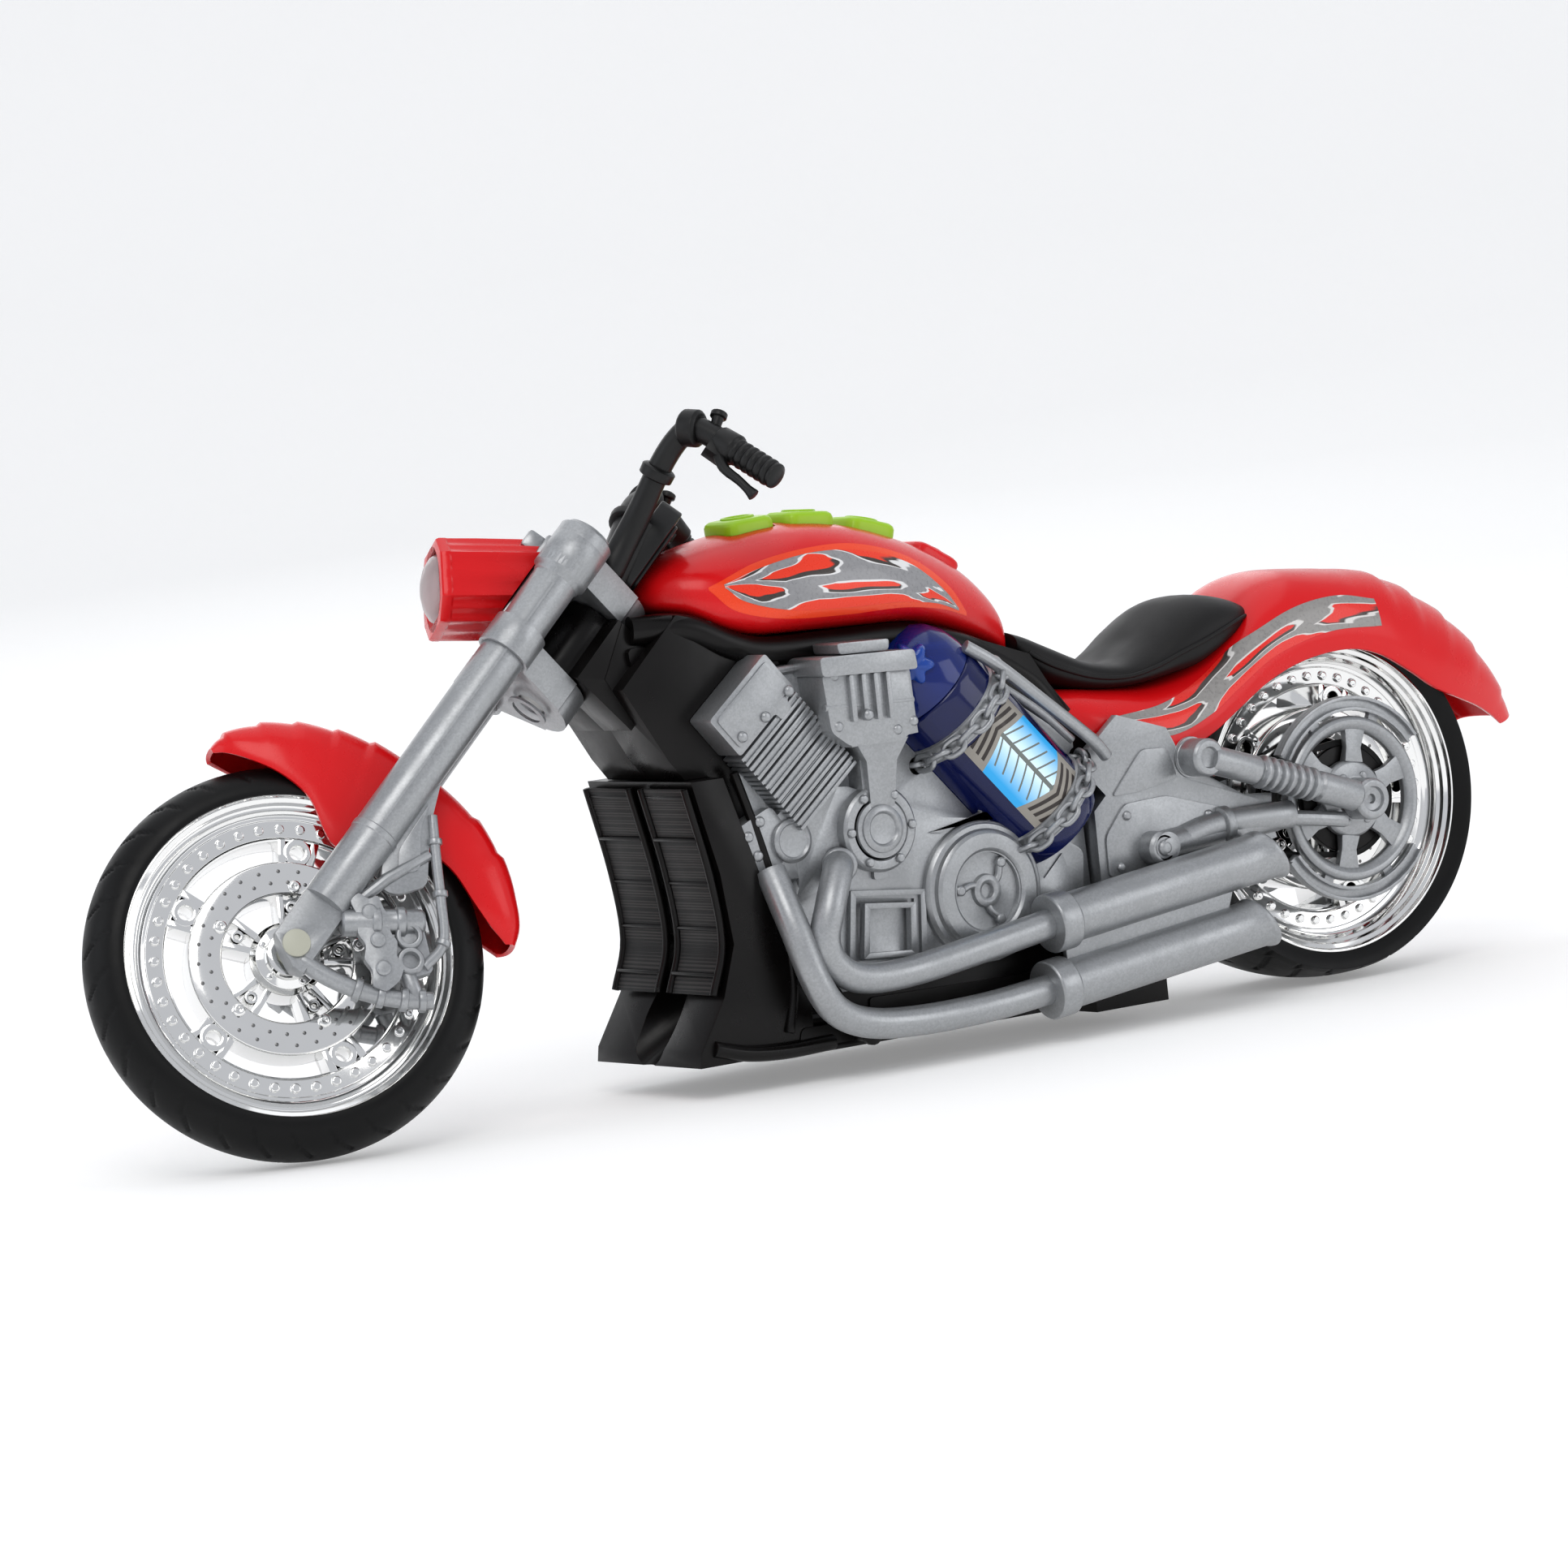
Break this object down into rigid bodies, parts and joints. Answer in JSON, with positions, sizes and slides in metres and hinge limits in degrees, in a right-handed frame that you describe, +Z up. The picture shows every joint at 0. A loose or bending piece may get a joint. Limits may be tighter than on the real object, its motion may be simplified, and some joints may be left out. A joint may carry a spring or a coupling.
{
  "type": "toy chopper motorcycle",
  "caption": "Long chopper-style toy motorcycle with a steering fork, turning wheels, sprung tank buttons, a belt-driven rear wheel and a tinted side canister.",
  "frame": {"origin": "centre of the bike's box on the ground plane", "axes": "+X towards the tail, the bike faces -X; +Y towards its right side; +Z up"},
  "size_m": [0.3324, 0.0678, 0.1326],
  "materials": {
    "red_plastic": "glossy moulded",
    "red_button": "satin moulded",
    "lime_plastic": "satin moulded",
    "black_plastic": "satin moulded",
    "bar_plastic": "soft satin moulded",
    "seat_plastic": "fine-grained moulded",
    "silver_plastic": "metallic flake moulded",
    "plated_plastic": "vacuum-plated bright",
    "blue_clear": "tinted clear moulded",
    "lens_clear": "frosted clear moulded",
    "led_clear": "clear moulded",
    "tyre_rubber": "satin",
    "belt_rubber": "satin",
    "steel": "plain",
    "circuit_board": "solder mask",
    "cell_jacket": "printed jacket"
  },
  "bodies": {
    "chassis": {"frame_left": "black_plastic", "frame_right": "black_plastic", "radiator_scoop": "black_plastic", "battery_door": "black_plastic", "door_screw": "steel", "batteries": "cell_jacket", "battery_contacts": "steel", "engine_left": "silver_plastic", "engine_right": "silver_plastic", "exhaust_left": "silver_plastic", "exhaust_right": "silver_plastic", "canister_left": "blue_clear", "canister_right": "blue_clear", "chain_bands_left": "silver_plastic", "chain_bands_right": "silver_plastic", "led_board": "circuit_board", "fuel_tank": "red_plastic", "switch_board": "circuit_board", "rear_switch_board": "circuit_board", "speaker": "black_plastic", "seat": "seat_plastic", "rear_fender": "red_plastic", "swingarm_left": "silver_plastic", "swingarm_right": "silver_plastic", "shock_left": "silver_plastic", "shock_right": "silver_plastic", "belt_cover": "silver_plastic", "disc_cover": "silver_plastic", "drive_motor": "steel", "drive_belt": "belt_rubber", "case_screws": "steel"},
    "fork": {"fork_leg_left": "silver_plastic", "fork_leg_right": "silver_plastic", "upper_clamp": "silver_plastic", "lower_clamp": "silver_plastic", "steering_screw": "steel", "front_fender": "red_plastic", "headlight_shell": "red_plastic", "headlight_lens": "lens_clear", "headlight_led": "led_clear", "handlebar_left": "bar_plastic", "handlebar_right": "bar_plastic", "riser_plate": "bar_plastic", "caliper_left": "silver_plastic", "caliper_right": "silver_plastic", "front_axle": "steel"},
    "front_wheel": {"front_rim": "plated_plastic", "front_tyre": "tyre_rubber"},
    "rear_wheel": {"rear_rim": "plated_plastic", "rear_tyre": "tyre_rubber", "rear_axle": "steel", "rear_pulley": "black_plastic"},
    "motor_pulley": {"motor_pulley": "steel"},
    "button_front": {"button_front": "lime_plastic"},
    "button_middle": {"button_middle": "lime_plastic"},
    "button_rear": {"button_rear": "lime_plastic"},
    "button_red": {"button_red": "red_button"},
    "power_switch": {"power_switch": "black_plastic"}
  },
  "joints": [
    {"name": "steering", "type": "hinge", "parent": "chassis", "child": "fork", "pos_m": [-0.1231, 0.00129, 0.03046], "axis": [0.7296, 0, 0.6839], "range_deg": [-3, 55]},
    {"name": "front_wheel_spin", "type": "hinge", "parent": "fork", "child": "front_wheel", "pos_m": [-0.12912, 0.00559, 0.03689], "axis": [0.2998, 0.8988, -0.3198], "continuous": true},
    {"name": "rear_wheel_spin", "type": "hinge", "parent": "chassis", "child": "rear_wheel", "pos_m": [0.1122, 0.00129, 0.0375], "axis": [0, 1, 0], "continuous": true},
    {"name": "motor_pulley_spin", "type": "hinge", "parent": "chassis", "child": "motor_pulley", "pos_m": [0.0572, 0.00129, 0.038], "axis": [0, 1, 0], "continuous": true},
    {"name": "button_front_press", "type": "slide", "parent": "chassis", "child": "button_front", "axis": [0.0523, 0, -0.9986], "range_m": [0, 0.0014], "stiffness_N_per_m": 300, "springref_m": -0.001},
    {"name": "button_middle_press", "type": "slide", "parent": "chassis", "child": "button_middle", "axis": [-0.0872, 0, -0.9962], "range_m": [0, 0.0014], "stiffness_N_per_m": 300, "springref_m": -0.001},
    {"name": "button_rear_press", "type": "slide", "parent": "chassis", "child": "button_rear", "axis": [-0.2756, 0, -0.9613], "range_m": [0, 0.0014], "stiffness_N_per_m": 300, "springref_m": -0.001},
    {"name": "button_red_press", "type": "slide", "parent": "chassis", "child": "button_red", "axis": [-0.515, 0, -0.8572], "range_m": [0, 0.0014], "stiffness_N_per_m": 300, "springref_m": -0.001},
    {"name": "power_switch_slide", "type": "slide", "parent": "chassis", "child": "power_switch", "axis": [1, 0, 0], "range_m": [0, 0.004]}
  ],
  "couplings": [
    {"joint": "motor_pulley_spin", "follows": "rear_wheel_spin", "ratio": 2.5}
  ]
}
